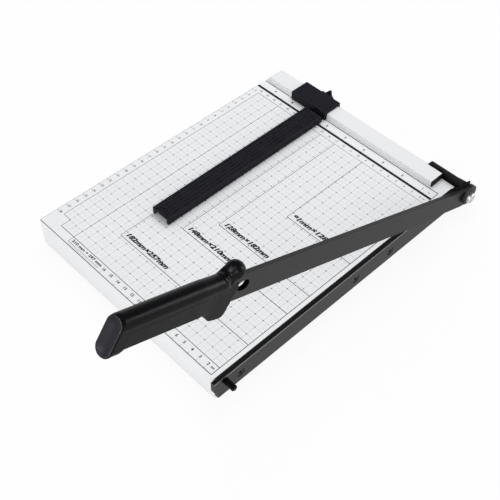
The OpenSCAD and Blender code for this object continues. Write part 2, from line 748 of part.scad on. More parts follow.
stand() base_board();
stand() rubber_feet();
stand() foot_screws();
stand() fence();
stand() fence_cap_left();
stand() fence_cap_right();
stand() fence_screws();
stand() fixed_blade();
stand() rail_screws();
stand() rail_nuts();
stand() stop_pin();
stand() stop_pin_nut();
stand() pivot_bracket();
stand() bracket_screws();
stand() pivot_stud();
stand() inner_washer();
stand() spring_washer();
stand() pivot_nut();
stand() cutting_arm();
stand() handle();
stand() handle_screws();
stand() handle_end_cap();
stand() stop_head();
stand() stop_arm();
stand() stop_arm_screws();
stand() clamp_nut();
stand() clamp_screw();
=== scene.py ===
import json
import math

import bmesh
import bpy
import numpy as np
from mathutils import Euler, Matrix, Vector


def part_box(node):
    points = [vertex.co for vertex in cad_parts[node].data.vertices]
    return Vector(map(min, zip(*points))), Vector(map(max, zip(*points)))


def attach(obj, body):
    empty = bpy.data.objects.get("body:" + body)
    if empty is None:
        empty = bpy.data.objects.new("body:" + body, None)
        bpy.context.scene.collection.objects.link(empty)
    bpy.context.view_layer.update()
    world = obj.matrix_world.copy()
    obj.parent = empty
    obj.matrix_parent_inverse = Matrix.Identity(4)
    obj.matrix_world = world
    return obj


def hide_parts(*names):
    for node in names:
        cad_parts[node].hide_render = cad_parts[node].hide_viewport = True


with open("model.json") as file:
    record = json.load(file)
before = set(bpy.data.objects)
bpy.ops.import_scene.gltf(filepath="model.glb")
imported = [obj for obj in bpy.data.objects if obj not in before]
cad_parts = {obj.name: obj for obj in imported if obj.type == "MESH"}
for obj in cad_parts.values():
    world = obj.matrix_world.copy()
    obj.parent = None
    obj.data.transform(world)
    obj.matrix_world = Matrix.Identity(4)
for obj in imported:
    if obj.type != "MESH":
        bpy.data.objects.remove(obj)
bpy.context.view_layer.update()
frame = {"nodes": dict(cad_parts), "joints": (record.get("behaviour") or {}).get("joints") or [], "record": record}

MM = 0.001
NODES = frame["nodes"]


# Frame: places that the looks are worked out from

BOARD_LOW, BOARD_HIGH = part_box("base_board")
FENCE_LOW, FENCE_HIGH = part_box("fence")
RAIL_LOW, RAIL_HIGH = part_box("fixed_blade")
BOARD_TOP = BOARD_HIGH.z
RULE_X = RAIL_HIGH.x + 0.8*MM
RULE_Y = FENCE_LOW.y - 2.4*MM


# Arm's own frame: s runs towards the handle and n upwards, with the pivot at EYE_S, EYE_N

HINGE = next(j for j in frame["joints"] if j["name"] == "arm_hinge")
PIVOT = Vector(HINGE["pos_m"])
ARM_ANGLE = math.radians(22.9)
ARM = Matrix.Translation(PIVOT) @ Matrix.Rotation(-ARM_ANGLE, 4, "X")
EYE_S, EYE_N = 5.75*MM, 4.6*MM


# Node materials

# Near-black colour of the shade painted into gaps and grooves.
PAINTED_SHADE = (0.002, 0.002, 0.002)
WEAR_START, WEAR_END = 0.35, 0.65
ALONG_PIECE, EVEN_GRAIN, FINE_GRAIN = (4000, 60, 4000), (700, 700, 700), (900, 900, 900)
ARM_TURN = (ARM_ANGLE, 0, 0)


class Graph:
    """Adds shader nodes to one node tree."""

    def __init__(self, tree):
        self.tree = tree

    def node(self, kind, **settings):
        made = self.tree.nodes.new(kind)
        for key, value in settings.items():
            setattr(made, key, value)
        return made

    def link(self, source, target):
        self.tree.links.new(source, target)

    def give(self, target, value):
        """Links a socket to the target, or sets a plain value there."""
        if isinstance(value, bpy.types.NodeSocket):
            self.link(value, target)
        else:
            target.default_value = value

    def span(self, source, low, high, start=0.3, end=0.7):
        """Maps source from start..end onto low..high."""
        made = self.node("ShaderNodeMapRange")
        for key, value in (("From Min", start), ("From Max", end), ("To Min", low), ("To Max", high)):
            self.give(made.inputs[key], value)
        self.link(source, made.inputs["Value"])
        return made.outputs["Result"]

    def combine(self, operation, first, second):
        made = self.node("ShaderNodeMath", operation=operation)
        self.give(made.inputs[0], first)
        self.give(made.inputs[1], second)
        return made.outputs["Value"]


class Finish(Graph):
    """A node material: one Principled shader, with textures in the piece's own space."""

    def __init__(self, name, **sockets):
        self.material = bpy.data.materials.new(name)
        self.material.use_nodes = True
        super().__init__(self.material.node_tree)
        self.shader = self.tree.nodes["Principled BSDF"]
        self.place = self.node("ShaderNodeTexCoord").outputs["Object"]
        for socket, value in sockets.items():
            self.shader.inputs[socket.replace("_", " ")].default_value = value

    def feed(self, socket, source):
        self.link(source, self.shader.inputs[socket])

    def mapped(self, stretch, turn):
        """Object space turned, then stretched along its new axes."""
        turned = self.node("ShaderNodeVectorRotate", rotation_type="EULER_XYZ")
        turned.inputs["Rotation"].default_value = turn
        self.link(self.place, turned.inputs["Vector"])
        scaled = self.node("ShaderNodeVectorMath", operation="MULTIPLY")
        scaled.inputs[1].default_value = stretch
        self.link(turned.outputs["Vector"], scaled.inputs[0])
        return scaled.outputs["Vector"]

    def noise(self, scale, detail=3.0, rough=0.55, place=None):
        made = self.node("ShaderNodeTexNoise")
        made.inputs["Scale"].default_value = scale
        made.inputs["Detail"].default_value = detail
        made.inputs["Roughness"].default_value = rough
        self.link(place or self.place, made.inputs["Vector"])
        return made.outputs["Fac"]

    def blend(self, source, first, second):
        """Colour between first (at 0) and second (at 1); either may be a socket."""
        made = self.node("ShaderNodeMix", data_type="RGBA")
        self.link(source, made.inputs["Factor"])
        for key, value in (("A", first), ("B", second)):
            socket = next(i for i in made.inputs if i.name == key and i.type == "RGBA")
            self.give(socket, value if isinstance(value, bpy.types.NodeSocket) else (*value, 1))
        return next(o for o in made.outputs if o.type == "RGBA")

    def edges(self, width=0.5*MM):
        """1 along sharp edges, 0 on flat faces."""
        rounded = self.node("ShaderNodeBevel", samples=6)
        rounded.inputs["Radius"].default_value = width
        shape = self.node("ShaderNodeNewGeometry")
        agree = self.node("ShaderNodeVectorMath", operation="DOT_PRODUCT")
        self.link(rounded.outputs["Normal"], agree.inputs[0])
        self.link(shape.outputs["Normal"], agree.inputs[1])
        return self.span(agree.outputs["Value"], 1, 0, start=0.9, end=0.99)

    def open_air(self, reach=1.6*MM):
        """1 in the open, falling to 0 deep in gaps and grooves; it sets where shade is painted into the colour."""
        made = self.node("ShaderNodeAmbientOcclusion", samples=8)
        made.inputs["Distance"].default_value = reach
        return self.span(made.outputs["AO"], 0, 1, start=0.25, end=0.9)

    def bump(self, height, depth, strength):
        made = self.node("ShaderNodeBump")
        made.inputs["Distance"].default_value = depth
        made.inputs["Strength"].default_value = strength
        self.link(height, made.inputs["Height"])
        self.feed("Normal", made.outputs["Normal"])


def toned(color, factor, plus=0.0):
    """The colour made lighter or darker by a factor, and paler by what is added."""
    return tuple(c*factor + plus for c in color)


def painted(name, color, rough=0.42):
    """Smooth coat with a faint orange peel, slightly uneven in tone."""
    f = Finish(name, IOR=1.45)
    cloud = f.span(f.noise(scale=9, detail=4), 0, 1)
    f.feed("Base Color", f.blend(cloud, toned(color, 0.985), toned(color, 1.015)))
    f.feed("Roughness", f.span(f.noise(scale=160, detail=2), rough - 0.05, rough + 0.06))
    f.bump(f.noise(scale=900, detail=2), depth=0.02*MM, strength=0.1)
    return f.material


def moulded(name, color, rough, spec, worn=0.5, shade=1.6*MM):
    """Moulded plastic: fine grain, uneven gloss, edges a little paler, partly as rubbed wear and partly as painted
    edge highlight, and shade painted into the grooves.
    """
    f = Finish(name, Specular_IOR_Level=spec)
    # Paler edges: partly rubbed wear, partly painted edge highlight; a larger worn paints more highlight.
    edge_wear_and_highlight = toned(color, 1.7 + worn, 0.006*worn)
    wear = f.span(f.noise(scale=120, detail=4), 0, worn, WEAR_START, WEAR_END)
    rubbed = f.combine("MULTIPLY", f.edges(), wear)
    cloud = f.span(f.noise(scale=28, detail=4), 0, 1)
    tone = f.blend(cloud, toned(color, 0.88), toned(color, 1.12))
    # Painted shade: the colour goes to near-black where ambient occlusion finds gaps and grooves.
    f.feed("Base Color", f.blend(f.open_air(shade), PAINTED_SHADE, f.blend(rubbed, tone, edge_wear_and_highlight)))
    f.feed("Roughness", f.span(f.noise(scale=70), rough - 0.05, rough + 0.06))
    f.bump(f.noise(scale=1800, detail=2), depth=0.03*MM, strength=0.5)
    return f.material


def steel(name, color, rough, along, worn, turn=(0, 0, 0), metal=1.0, contrast=0.12, spec=0.5):
    """Ground steel: fine scratches along one direction, bright rubbed edges, and shade painted near-black into
    grooves and gaps.
    """
    f = Finish(name, Metallic=metal, Specular_IOR_Level=spec)
    grain = f.noise(scale=1, detail=5, rough=0.6, place=f.mapped(along, turn))
    tone = f.blend(f.span(grain, 0, 1), toned(color, 1 - contrast), toned(color, 1 + contrast))
    wear = f.span(f.noise(scale=22), 0.2, 0.8, WEAR_START, WEAR_END)
    rubbed = f.combine("MULTIPLY", f.edges(), wear)
    # Painted shade: the colour goes to near-black where ambient occlusion finds gaps and grooves.
    f.feed("Base Color", f.blend(f.open_air(), PAINTED_SHADE, f.blend(rubbed, tone, worn)))
    f.feed("Roughness", f.span(grain, rough - 0.06, rough + 0.08))
    f.bump(grain, depth=0.01*MM, strength=0.4)
    return f.material


def ink(name, color, rough=0.5):
    """Screen-printed ink with slightly uneven cover."""
    f = Finish(name)
    cover = f.span(f.noise(scale=240, detail=4), 0, 1, start=0.35, end=0.7)
    f.feed("Base Color", f.blend(cover, color, toned(color, 1.15, 0.012)))
    f.feed("Roughness", f.span(f.noise(scale=400, detail=2), rough - 0.06, rough + 0.06))
    return f.material


MATERIALS = {
    "white_paint": painted("white_paint", (0.865, 0.868, 0.875)),
    "fence_paint": painted("fence_paint", (0.85, 0.85, 0.857)),
    "white_plastic": painted("white_plastic", (0.82, 0.82, 0.825), rough=0.5),
    "foot_rubber": moulded("foot_rubber", (0.02, 0.02, 0.02), rough=0.75, spec=0.3),
    "black_plastic": moulded("black_plastic", (0.007, 0.007, 0.0075), rough=0.5, spec=0.14),
    # bracket_coat's 12 mm shade reach paints shade over the bracket's faces near the board and fence.
    "bracket_coat": moulded("bracket_coat", (0.019, 0.019, 0.0198), rough=0.6, spec=0.07, shade=12*MM),
    "handle_plastic": moulded("handle_plastic", (0.0036, 0.0037, 0.0047), rough=0.28, spec=0.12),
    "cap_plastic": moulded("cap_plastic", (0.0105, 0.011, 0.0155), rough=0.42, spec=0.12),
    # Pale grey painted onto the end cap's rim: a painted highlight.
    "cap_rim_highlight": moulded("cap_rim_highlight", (0.2, 0.2, 0.22), rough=0.4, spec=0.3),
    # The high worn value paints pale highlight lines on the stop's rib edges, beside some wear.
    "stop_plastic": moulded("stop_plastic", (0.0155, 0.0158, 0.0205), rough=0.5, spec=0.05, worn=1.6),
    # Near-black for the inside of the arm's hole: painted shade.
    "hole_shade": moulded("hole_shade", (0.0012, 0.0012, 0.0012), rough=0.8, spec=0.02),
    "zinc": steel("zinc", (0.60, 0.60, 0.62), rough=0.38, along=FINE_GRAIN, worn=(0.8, 0.8, 0.82)),
    "black_steel": steel("black_steel", (0.0035, 0.0035, 0.004), rough=0.4, along=ALONG_PIECE,
                         worn=(0.06, 0.06, 0.065), metal=0.0, spec=0.58),
    "ground_edge": steel("ground_edge", (0.45, 0.45, 0.46), rough=0.35, along=ALONG_PIECE,
                         worn=(0.6, 0.6, 0.6)),
    "black_screw": steel("black_screw", (0.005, 0.005, 0.0055), rough=0.35, along=EVEN_GRAIN,
                         worn=(0.10, 0.10, 0.11), metal=0.0, spec=0.34),
    "bright_steel": steel("bright_steel", (0.9, 0.9, 0.92), rough=0.4, along=(600, 900, 900),
                          worn=(0.92, 0.92, 0.94), contrast=0.04),
    "grey_steel": steel("grey_steel", (0.014, 0.014, 0.0148), rough=0.45, along=ALONG_PIECE,
                        worn=(0.10, 0.10, 0.105), turn=ARM_TURN, metal=0.0, contrast=0.08, spec=0.44),
    "ink_black": ink("ink_black", (0.012, 0.012, 0.014)),
    "ink_line": ink("ink_line", (0.055, 0.055, 0.06)),
    "ink_dot": ink("ink_dot", (0.10, 0.105, 0.115)),
    "ink_grid": ink("ink_grid", (0.45, 0.46, 0.48)),
    "ink_faint": ink("ink_faint", (0.58, 0.585, 0.60)),
}


# Pieces from CAD nodes

WELD = 0.001*MM
FLAT_ANGLE, SHARP_ANGLE = math.radians(0.6), math.radians(35)
PULL = 0.5


def clean_mesh(node):
    """The node's mesh, welded, with its flat facets merged into whole faces."""
    bm = bmesh.new()
    bm.from_mesh(NODES[node].data)
    bmesh.ops.remove_doubles(bm, verts=bm.verts, dist=WELD)
    bmesh.ops.dissolve_limit(bm, angle_limit=FLAT_ANGLE, verts=bm.verts, edges=bm.edges)
    mesh = bpy.data.meshes.new(node + "_clean")
    bm.to_mesh(mesh)
    bm.free()
    return mesh


def body_of(node):
    return next(b for b, members in frame["record"]["behaviour"]["bodies"].items() if node in members)


def slot_of(node):
    return next(s["material_slot"] for s in frame["record"]["subparts"] if s["node"] == node)


def place(piece, body, slot, material):
    """Gives a finished piece its look and its body; the slot argument is not used."""
    bpy.context.scene.collection.objects.link(piece)
    piece.data.materials.clear()
    piece.data.materials.append(MATERIALS[material])
    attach(piece, body)
    return piece


def dress(node, name, radius, segments=3, material=None, mesh=None):
    """A copy of a CAD node with rounded edges, which stands for the node."""
    mesh = mesh or clean_mesh(node)
    mesh.shade_smooth()
    piece = bpy.data.objects.new(name, mesh)
    rounding = piece.modifiers.new("rounded_edges", "BEVEL")
    rounding.width = radius
    rounding.segments = segments
    rounding.limit_method = "ANGLE"
    rounding.angle_limit = SHARP_ANGLE
    rounding.miter_outer = "MITER_ARC"
    flat = piece.modifiers.new("flat_faces", "WEIGHTED_NORMAL")
    flat.weight = 100
    flat.keep_sharp = False
    place(piece, body_of(node), slot_of(node), material or slot_of(node))
    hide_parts(node)
    return piece


def shaped(mesh, kind, **settings):
    """The mesh after one modifier of the given kind."""
    rough = bpy.data.objects.new("rough", mesh)
    bpy.context.scene.collection.objects.link(rough)
    change = rough.modifiers.new("change", kind)
    for key, value in settings.items():
        setattr(change, key, value)
    bpy.context.view_layer.update()
    fine = bpy.data.meshes.new_from_object(rough.evaluated_get(bpy.context.evaluated_depsgraph_get()))
    bpy.data.objects.remove(rough)
    bpy.data.meshes.remove(mesh)
    return fine


def box_mesh(low, high):
    bm = bmesh.new()
    bmesh.ops.create_cube(bm, size=1)
    for vert in bm.verts:
        vert.co = [top if c > 0 else bottom for c, bottom, top in zip(vert.co, low, high)]
    mesh = bpy.data.meshes.new("box")
    bm.to_mesh(mesh)
    bm.free()
    return mesh


def carved(mesh, low, high):
    """The mesh without what lies in the box."""
    knife = bpy.data.objects.new("knife", box_mesh(low, high))
    bpy.context.scene.collection.objects.link(knife)
    cut = shaped(mesh, "BOOLEAN", operation="DIFFERENCE", solver="EXACT", object=knife)
    bpy.data.meshes.remove(knife.data)
    return cut


def remeshed(mesh, voxel):
    """The mesh with even small faces, and its points as an array."""
    fine = shaped(mesh, "REMESH", mode="VOXEL", voxel_size=voxel)
    points = np.empty(len(fine.vertices)*3)
    fine.vertices.foreach_get("co", points)
    return fine, points.reshape(-1, 3)


def relax(mesh, points, rounds, weight, pulls=(PULL, -PULL)):
    """Rounds off edges and steps; a pull back after each pull keeps the form from shrinking."""
    ends = np.empty(len(mesh.edges)*2, np.int32)
    mesh.edges.foreach_get("vertices", ends)
    first, second = ends.reshape(-1, 2).T
    count = np.bincount(ends, minlength=len(points))[:, None]
    for _ in range(rounds):
        for pull in pulls:
            mean = np.empty_like(points)
            for axis in range(3):
                mean[:, axis] = (np.bincount(first, points[second, axis], len(points))
                                 + np.bincount(second, points[first, axis], len(points)))
            points += pull*weight*(mean/count - points)


def soft_piece(node, name, mesh, points, share):
    """A piece of the arm from moved points, thinned to a share of its faces, which stands for the node."""
    mesh.vertices.foreach_set("co", points.ravel())
    mesh.transform(ARM)
    mesh.update()
    mesh.shade_smooth()
    piece = bpy.data.objects.new(name, mesh)
    piece.modifiers.new("fewer_faces", "DECIMATE").ratio = share
    place(piece, body_of(node), slot_of(node), slot_of(node))
    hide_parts(node)


# Handle: places and lengths in the arm's frame, and shares, angles and counts

GRIP_VOXEL, GRIP_ROUNDS, GRIP_FACES = 0.3*MM, 20, 0.35
END_S, END_EASE, END_WEIGHT = 457.2*MM, 4*MM, 0.4
KNOB_S, KNOB_N = 351.3*MM, 16.8*MM
NECK_TILT, NECK_ROUNDS = math.radians(27), 50
BARREL_S, BARREL_N, BARREL_EASE = 372*MM, -1*MM, 12*MM
BARREL_WIDER, BARREL_HIGHER = 0.06, 0.035
HOLLOW_S, HOLLOW_L, HOLLOW_DEPTH = 7.5*MM, 3.2*MM, 0.38
HOLLOW_TURN, HOLLOW_PAST, HOLLOW_EASE = math.radians(50), 0.1, 0.6
SHOULDER_W, SHOULDER_L = 0.95*MM, 1.4*MM
CAP_VOXEL, CAP_ROUNDS, CAP_FACES = 0.25*MM, 6, 0.6
CAP_DISH, CAP_WIDER, CAP_DROP = 1.6*MM, 0.3*MM, 0.7*MM
CAP_THICK, CAP_FORWARD = 2*MM, 0.3
CAP_RIM = 0.87
# Reach beyond which the cap's rim faces get the painted highlight.
CAP_HIGHLIGHT_REACH = CAP_RIM + 0.4*(1 - CAP_RIM)


def fuller(points):
    """Lets the barrel swell a little behind the knob, about its own axis; s and n come back with it."""
    s, n = EYE_S - points[:, 1], points[:, 2] + EYE_N
    share = np.clip((s - BARREL_S)/BARREL_EASE, 0, 1)
    points[:, 0] *= 1 + BARREL_WIDER*share
    points[:, 2] += BARREL_HIGHER*share*(n - BARREL_N)
    return s, n


def hollow(points, s, n):
    """Thumb hollow between knob and barrel, over the top and the outer side; its weights come back."""
    along = (s - KNOB_S)*math.cos(NECK_TILT) - (n - KNOB_N)*math.sin(NECK_TILT)
    above = (s - KNOB_S)*math.sin(NECK_TILT) + (n - KNOB_N)*math.cos(NECK_TILT)
    facing = np.cos(np.arctan2(above, points[:, 0]) - HOLLOW_TURN)
    within = np.exp(-((along - HOLLOW_S)/HOLLOW_L)**2)*np.clip((facing + HOLLOW_PAST)/HOLLOW_EASE, 0, 1)
    depth = HOLLOW_DEPTH*within
    points[:, 0] *= 1 - depth
    points[:, 1] += depth*above*math.sin(NECK_TILT)
    points[:, 2] -= depth*above*math.cos(NECK_TILT)
    return within[:, None]


def cap_oval():
    """The end cap's mesh in the arm's frame, its middle, outward and long directions and half sizes."""
    mesh = clean_mesh("handle_end_cap")
    mesh.transform(ARM.inverted())
    face = max((p for p in mesh.polygons if p.normal.y < -CAP_FORWARD), key=lambda p: p.area)
    out, middle = np.array(face.normal), np.array(face.center)
    along = np.array((0, -out[2], out[1]))
    rim = np.array([mesh.vertices[i].co for i in face.vertices]) - middle
    return mesh, middle, out, along, np.abs(rim[:, 0]).max(), np.abs(rim @ along).max()


def oval_reach(points, middle, along, half_w, half_l):
    """Distance from the oval's core line; half_w lies on its outline."""
    past = np.maximum(np.abs((points - middle) @ along) - (half_l - half_w), 0)
    return np.hypot(points[:, 0], past)


def shoulder(points):
    """Rounds the barrel's end off around the cap."""
    mesh, middle, out, along, half_w, half_l = cap_oval()
    bpy.data.meshes.remove(mesh)
    beyond = np.clip((oval_reach(points, middle, along, half_w, half_l) - half_w)/SHOULDER_W, 0, 1)
    near = np.clip(1 + ((points - middle) @ out)/(2*SHOULDER_L), 0, 1)
    points -= (SHOULDER_L*near*(1 - np.sqrt(1 - beyond**2)))[:, None]*out


def moulded_grip():
    """The handle as one moulding: soft blends, a full barrel and a thumb hollow behind the knob."""
    mesh = clean_mesh("handle")
    mesh.transform(ARM.inverted())
    fine, points = remeshed(mesh, GRIP_VOXEL)
    shoulder(points)
    s, n = fuller(points)
    neck = hollow(points, s, n)
    held = np.clip((END_S - s)/END_EASE, END_WEIGHT, 1)[:, None]
    relax(fine, points, GRIP_ROUNDS, held)
    relax(fine, points, NECK_ROUNDS, neck, (PULL,))
    soft_piece("handle", "grip", fine, points, GRIP_FACES)


def dished_cap():
    """The grip's end cap with a shallow dish and a soft rim whose outer faces are painted pale as a highlight."""
    mesh, middle, out, along, half_w, half_l = cap_oval()
    fine, points = remeshed(mesh, CAP_VOXEL)
    relax(fine, points, CAP_ROUNDS, weight=1.0)
    from_middle = points - middle
    reach = np.clip(oval_reach(points, middle, along, half_w, half_l)/half_w, 0, 1)
    front = np.clip(1 + (from_middle @ out)/CAP_THICK, 0, 1)
    points -= (CAP_DISH*front*(1 - reach**2)**1.5)[:, None]*out
    points -= (CAP_DROP*front*np.clip((reach - CAP_RIM)/(1 - CAP_RIM), 0, 1)**2)[:, None]*out
    points[:, 0] *= 1 + CAP_WIDER/half_w
    points += (CAP_WIDER/half_l*(from_middle @ along))[:, None]*along
    fuller(points)
    soft_piece("handle_end_cap", "grip_cap", fine, points, CAP_FACES)
    # Painted highlight: the outer rim faces get a pale grey material, for light catching the rim.
    fine.materials.append(MATERIALS["cap_rim_highlight"])
    edge = (reach > CAP_HIGHLIGHT_REACH) & (front > 0.5)
    for face in fine.polygons:
        face.material_index = int(edge[list(face.vertices)].all())


# Rail, arm, fence end and paper stop

RAIL_NEAR, GROUND_W = 0.6*MM, 0.45*MM
HOLE_S, HOLE_R, HOLE_LONGER, HOLE_NEAR = 336*MM, 4.9*MM, 4*MM, 0.3*MM
PLUG_GAP, PLUG_LIFT, PLUG_END = 0.02*MM, 0.1*MM, 1.0*MM
PLUG_RIM, PLUG_DISH = 1.2*MM, 0.5*MM
SLOT_L, SLOT_UNDER, SLOT_LIP = 6*MM, 2*MM, 1.1*MM
SLOT_FLOOR, SLOT_WALL, CUT_PAST = 2.4*MM, 2.4*MM, 1*MM


def ground_rail():
    """The rail with its outer top edge ground bright."""
    mesh = clean_mesh("fixed_blade")
    edge_z, edge_x = RAIL_HIGH.z - RAIL_NEAR, RAIL_HIGH.x - RAIL_NEAR
    weights = mesh.attributes.new("bevel_weight_edge", "FLOAT", "EDGE")
    for edge in mesh.edges:
        ends = [mesh.vertices[i].co for i in edge.vertices]
        long = (ends[0] - ends[1]).length > (RAIL_HIGH.y - RAIL_LOW.y)/2
        if long and all(p.z > edge_z and p.x > edge_x for p in ends):
            weights.data[edge.index].value = 1.0
    piece = dress("fixed_blade", "rail", radius=0.12*MM, segments=2, mesh=mesh)
    piece.data.materials.append(MATERIALS["ground_edge"])
    ground = piece.modifiers.new("ground_edge", "BEVEL")
    ground.width = GROUND_W
    ground.segments = 1
    ground.limit_method = "WEIGHT"
    ground.material = 1
    piece.modifiers.move(len(piece.modifiers) - 1, 0)


def holed_arm():
    """The arm with its hanging hole drawn out towards the handle, and the hole's wall painted near-black as shade.
    """
    mesh = clean_mesh("cutting_arm")
    mesh.transform(ARM.inverted())
    rim = set()
    for vert in mesh.vertices:
        ds, dn = EYE_S - vert.co.y - HOLE_S, vert.co.z + EYE_N
        if abs(math.hypot(ds, dn) - HOLE_R) < HOLE_NEAR:
            rim.add(vert.index)
            vert.co.y -= HOLE_LONGER*max(ds, 0)/HOLE_R
    mesh.transform(ARM)
    dress("cutting_arm", "blade_arm", radius=0.25*MM, mesh=mesh)
    # Painted shade: the hole's wall faces get a near-black material.
    mesh.materials.append(MATERIALS["hole_shade"])
    for face in mesh.polygons:
        face.material_index = int(rim.issuperset(face.vertices))


def covered_plug():
    """The fence's right end with the plug's rim, which covers the channel's cut edges."""
    rim = box_mesh((FENCE_HIGH.x + PLUG_GAP, FENCE_LOW.y, BOARD_TOP + PLUG_LIFT),
                   (FENCE_HIGH.x + PLUG_END, FENCE_HIGH.y, FENCE_HIGH.z))
    bm = bmesh.new()
    for solid in (clean_mesh("fence_cap_right"), rim):
        bm.from_mesh(solid)
        bpy.data.meshes.remove(solid)
    end = max(bm.faces, key=lambda f: f.calc_center_median().x)
    bmesh.ops.inset_individual(bm, faces=[end], thickness=PLUG_RIM, depth=-PLUG_DISH)
    mesh = bpy.data.meshes.new("plug")
    bm.to_mesh(mesh)
    bm.free()
    dress("fence_cap_right", "fence_right_plug", radius=0.2*MM, segments=2, mesh=mesh)


def slotted_stop():
    """The stop's channel and head with the deep slot between them, which runs in under the head's lip."""
    low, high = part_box("stop_arm")
    head_low, head_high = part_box("stop_head")
    floor = BOARD_TOP + SLOT_FLOOR
    arm = carved(clean_mesh("stop_arm"), (low.x - CUT_PAST, head_low.y - SLOT_L, floor),
                 (high.x + CUT_PAST, head_low.y, head_high.z))
    dress("stop_arm", "stop_channel", radius=0.08*MM, segments=1, mesh=arm)
    head = carved(clean_mesh("stop_head"), (low.x + SLOT_WALL, head_low.y - CUT_PAST, floor),
                  (high.x - SLOT_WALL, head_low.y + SLOT_UNDER, head_high.z - SLOT_LIP))
    dress("stop_head", "stop_block", radius=0.4*MM, mesh=head)


# All pieces; the nodes listed last keep their CAD shape

dress("base_board", "painted_tray", radius=0.7*MM)
dress("fence", "fence_channel", radius=0.3*MM, segments=2, material="fence_paint")
dress("fence_cap_left", "fence_left_end", radius=0.35*MM)
covered_plug()
ground_rail()
dress("rail_screws", "rail_screw_heads", radius=0.25*MM, segments=2)
dress("stop_pin", "rest_pin", radius=0.25*MM, material="handle_plastic")
dress("pivot_bracket", "bracket", radius=0.4*MM, material="bracket_coat")
dress("pivot_stud", "stud", radius=0.2*MM)
dress("pivot_nut", "hex_nut", radius=0.35*MM, material="grey_steel")
holed_arm()
moulded_grip()
dished_cap()
slotted_stop()
dress("clamp_screw", "thumb_screw", radius=0.3*MM, segments=2)
for node in ("rubber_feet", "foot_screws", "fence_screws", "rail_nuts", "stop_pin_nut", "bracket_screws",
             "inner_washer", "spring_washer", "handle_screws", "stop_arm_screws", "clamp_nut"):
    for material_slot in NODES[node].material_slots:
        material_slot.material = MATERIALS[slot_of(node)]


# Printed measuring face: u runs left from the cutting edge, v forward from the fence's zero line, in mm

INK_LOW, INK_HIGH = BOARD_TOP + 0.004*MM, BOARD_TOP + 0.03*MM
INK_WELD = 0.0001*MM
TYPE_SIZE = 1.37
CM, INCH = 10, 25.4
LEFT, RIGHT = 240.0, 10.5
BACK, FRONT = 20.0, 290.0
OUTER_LEFT, OUTER_FRONT = 249.5, 299.6
ZERO_LINE, THICK_LINE = -0.6, 10.6
JOG_U, JOG_V = 229.7, 279.2
GRID_U, GRID_V = 20, 30
# Where the painted shadow line beside the rail starts and ends.
JOINT_SHADOW_IN, JOINT_SHADOW_SHORT = 0.4, 0.7
SHEET_SIZES = ((182, 257), (148, 210), (128, 182), (91, 128))
LABEL_IN, LABEL_UP = 31.5, 5.4
LONG_U, LONG_V = 210, 297
LONG_LINE, LONG_CORNER, LONG_LABEL_IN, LONG_LABEL_V = LONG_V - 0.4, 45, 24, 293.3
SIDE_FIGURE_U, SIDE_FIGURE_UP = 245, 0.6
INCH_FIGURE_V, CM_FIGURE_V, FRONT_FIGURE_V = 5, 15.8, 294
INCH_UNIT_U, CM_UNIT_U, CM_UNIT_V, FRONT_UNIT_U = 17, 15.7, 15.4, 14.6
SIDE_MARK, FINE_MARK = 2.2, 1.8
FINE_MARKS = range(166, 210)
SIDE_CM, BACK_CM, BACK_INCHES, FRONT_CM = range(2, 29), range(2, 25), range(1, 10), range(2, 17)


def on_board(u, v, z):
    return Vector((RULE_X - u*MM, RULE_Y - v*MM, z))


class Print:
    """Collects bars, dots and figures of one ink into one thin mesh."""

    def __init__(self):
        self.bm = bmesh.new()

    def prism(self, outline):
        low = [self.bm.verts.new(on_board(u, v, INK_LOW)) for u, v in outline]
        high = [self.bm.verts.new(on_board(u, v, INK_HIGH)) for u, v in outline]
        self.bm.faces.new(high)
        self.bm.faces.new(low[::-1])
        count = len(outline)
        for i in range(count):
            j = (i + 1) % count
            self.bm.faces.new((low[i], low[j], high[j], high[i]))

    def bar(self, u0, v0, u1, v1, width):
        """Straight line of the given width, along u or along v."""
        du = width/2 if abs(u1 - u0) < abs(v1 - v0) else 0
        dv = width/2 - du
        a, b = min(u0, u1) - du, max(u0, u1) + du
        c, d = min(v0, v1) - dv, max(v0, v1) + dv
        self.prism([(b, d), (a, d), (a, c), (b, c)])

    def path(self, points, width):
        for (u0, v0), (u1, v1) in zip(points, points[1:]):
            self.bar(u0, v0, u1, v1, width)

    def dot(self, u, v, radius, sides=8):
        turn = 2*math.pi/sides
        self.prism([(u - radius*math.cos(turn*i), v - radius*math.sin(turn*i)) for i in range(sides)])

    def write(self, text, u, v, height, weight, lean=0.0, length=None):
        """Text centred on u, v, read from the front; length stretches it along u."""
        curve = bpy.data.curves.new("figures", "FONT")
        curve.body = text
        curve.align_x = "CENTER"
        curve.align_y = "CENTER"
        curve.size = TYPE_SIZE*height*MM
        curve.offset = weight*MM
        curve.shear = lean
        curve.resolution_u = 3
        curve.extrude = (INK_HIGH - INK_LOW)/2
        typed = bpy.data.objects.new("figures", curve)
        bpy.context.scene.collection.objects.link(typed)
        bpy.context.view_layer.update()
        scale = length*MM/typed.dimensions.x if length else 1
        shape = typed.to_mesh()
        shape.transform(Matrix.Translation(on_board(u, v, (INK_LOW + INK_HIGH)/2))
                        @ Matrix.Diagonal((scale, 1, 1, 1)))
        self.bm.from_mesh(shape)
        typed.to_mesh_clear()
        bpy.data.objects.remove(typed)
        bpy.data.curves.remove(curve)

    def piece(self, name, material):
        mesh = bpy.data.meshes.new(name)
        bmesh.ops.remove_doubles(self.bm, verts=self.bm.verts, dist=INK_WELD)
        bmesh.ops.recalc_face_normals(self.bm, faces=self.bm.faces)
        self.bm.to_mesh(mesh)
        self.bm.free()
        place(bpy.data.objects.new(name, mesh), "base", "white_paint", material)


def ruled(lines, first_u, first_v, width):
    """Lines a centimetre apart, both ways, inside the inner frame."""
    for v in range(first_v, int(FRONT), CM):
        lines.bar(LEFT if v < JOG_V else JOG_U, v, RIGHT, v, width)
    for u in range(first_u, int(LEFT), CM):
        lines.bar(u, BACK, u, FRONT if u < JOG_U else JOG_V, width)


